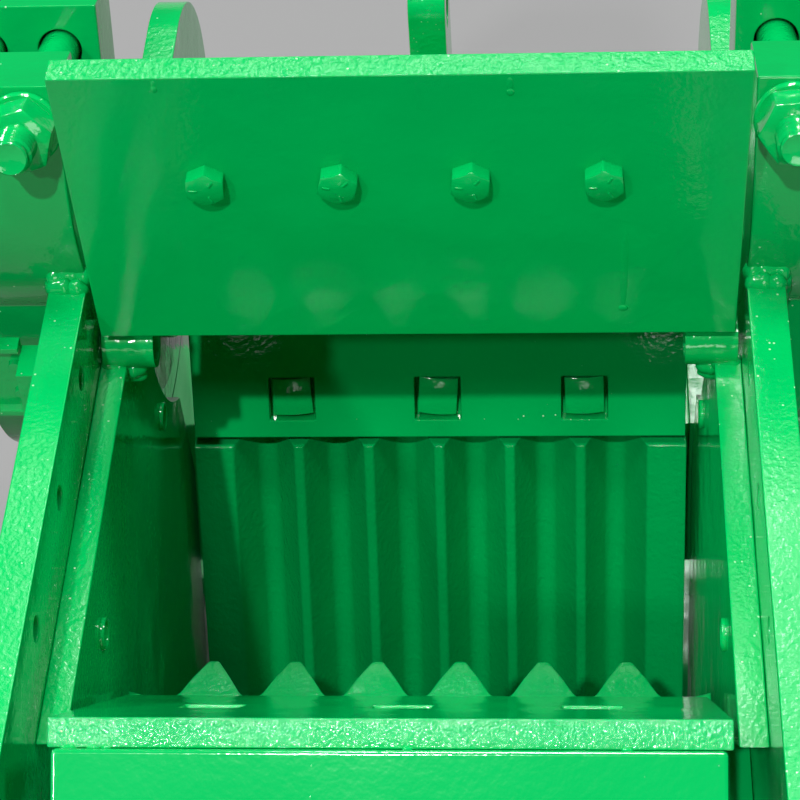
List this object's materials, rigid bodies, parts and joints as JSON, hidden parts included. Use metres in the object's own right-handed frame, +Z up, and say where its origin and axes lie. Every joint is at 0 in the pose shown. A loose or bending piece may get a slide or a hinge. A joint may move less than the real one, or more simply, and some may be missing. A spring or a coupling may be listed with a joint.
{
  "type": "jaw crusher",
  "caption": "Single-toggle jaw crusher seen from its feed end: ribbed fixed and swing jaws between heavy side plates, with deflector, flywheels and foot plates.",
  "frame": {"origin": "middle of the foot plates' footprint and overall length, at ground level", "axes": "+X across the machine along the shaft, +Y from the feed end to the rear, +Z up"},
  "size_m": [1.126, 1.115, 1.26],
  "materials": {
    "green_frame": "thick gloss green enamel over welded plate",
    "green_casting": "gloss green enamel over a casting skin",
    "wear_plate": "gloss green enamel over flame-cut plate",
    "jaw_casting": "green enamel over a cast jaw face",
    "fastener": "green enamel over bolts, nuts and studs",
    "bare_shaft": "turned steel"
  },
  "bodies": {
    "frame": {"base_foot_left": "green_frame", "base_foot_right": "green_frame", "base_tie": "green_frame", "bearing_covers_left": "green_casting", "bearing_covers_right": "green_casting", "bearing_housing_left": "green_casting", "bearing_housing_right": "green_casting", "bearing_saddle_left": "green_casting", "bearing_saddle_right": "green_casting", "bearing_studs_left": "fastener", "bearing_studs_right": "fastener", "cheek_bolts_left": "fastener", "cheek_bolts_right": "fastener", "cheek_pipe_left": "green_frame", "cheek_pipe_right": "green_frame", "cheek_plate_left": "wear_plate", "cheek_plate_right": "wear_plate", "eccentric_shaft": "bare_shaft", "feed_backing_plate": "wear_plate", "feed_liner": "wear_plate", "feed_liner_bolts": "fastener", "fixed_jaw_die": "jaw_casting", "flywheel_left": "green_casting", "flywheel_right": "green_casting", "front_ribs": "green_frame", "front_wall": "green_frame", "guard_bracket": "green_frame", "rear_beam": "green_frame", "side_plate_left": "green_frame", "side_plate_right": "green_frame", "side_ribs_left": "green_frame", "side_ribs_right": "green_frame", "tension_spring": "fastener", "toggle_seat_rear": "green_casting"},
    "swing_jaw": {"pitman": "green_casting", "swing_jaw_die": "jaw_casting", "swing_key_bar": "wear_plate", "swing_key_bolts": "fastener", "toggle_seat_front": "green_casting", "tension_rod": "fastener", "deflector_plate": "wear_plate", "deflector_bolts": "fastener", "deflector_bracket": "green_frame", "lifting_lug": "green_frame"},
    "toggle": {"toggle_plate": "green_casting"}
  },
  "joints": [
    {"name": "jaw_swing", "type": "hinge", "parent": "frame", "child": "swing_jaw", "pos_m": [0, 0.1755, 0.87], "axis": [1, 0, 0], "range_deg": [-1.2, 0]},
    {"name": "toggle_swing", "type": "hinge", "parent": "frame", "child": "toggle", "pos_m": [0, 0.3275, 0.275], "axis": [1, 0, 0], "range_deg": [-0.7, 0]}
  ],
  "couplings": [
    {"joint": "toggle_swing", "follows": "jaw_swing", "ratio": 0.447}
  ]
}
